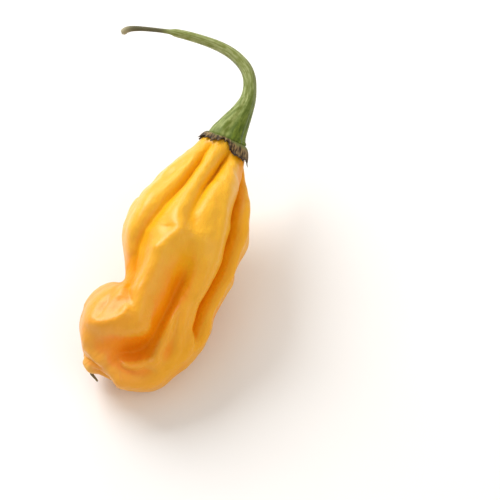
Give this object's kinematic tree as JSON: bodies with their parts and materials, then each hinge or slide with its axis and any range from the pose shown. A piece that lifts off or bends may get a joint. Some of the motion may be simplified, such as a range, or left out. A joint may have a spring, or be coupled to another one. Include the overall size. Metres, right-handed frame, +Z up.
{
  "type": "chilli pepper",
  "caption": "Wrinkled yellow-orange chilli pepper lying on its side, with a dry calyx rim and a curling green stem.",
  "frame": {"origin": "middle of the small flat spot on the underside, where the pod rests on the table", "axes": "+Z up from the table, +Y from the blossom end towards the stem, +X to the right of the pod as the picture shows it"},
  "size_m": [0.047, 0.0987, 0.0363],
  "materials": {
    "pod": "waxy, softly glossy fruit skin",
    "stem": "satin green stalk with fine streaks",
    "calyx_rim": "dry, papery brown",
    "style_remnant": "dry, dull brown"
  },
  "bodies": {
    "root": {"pod": "pod", "stem": "stem", "calyx_rim": "calyx_rim", "style_remnant": "style_remnant"}
  },
  "joints": []
}
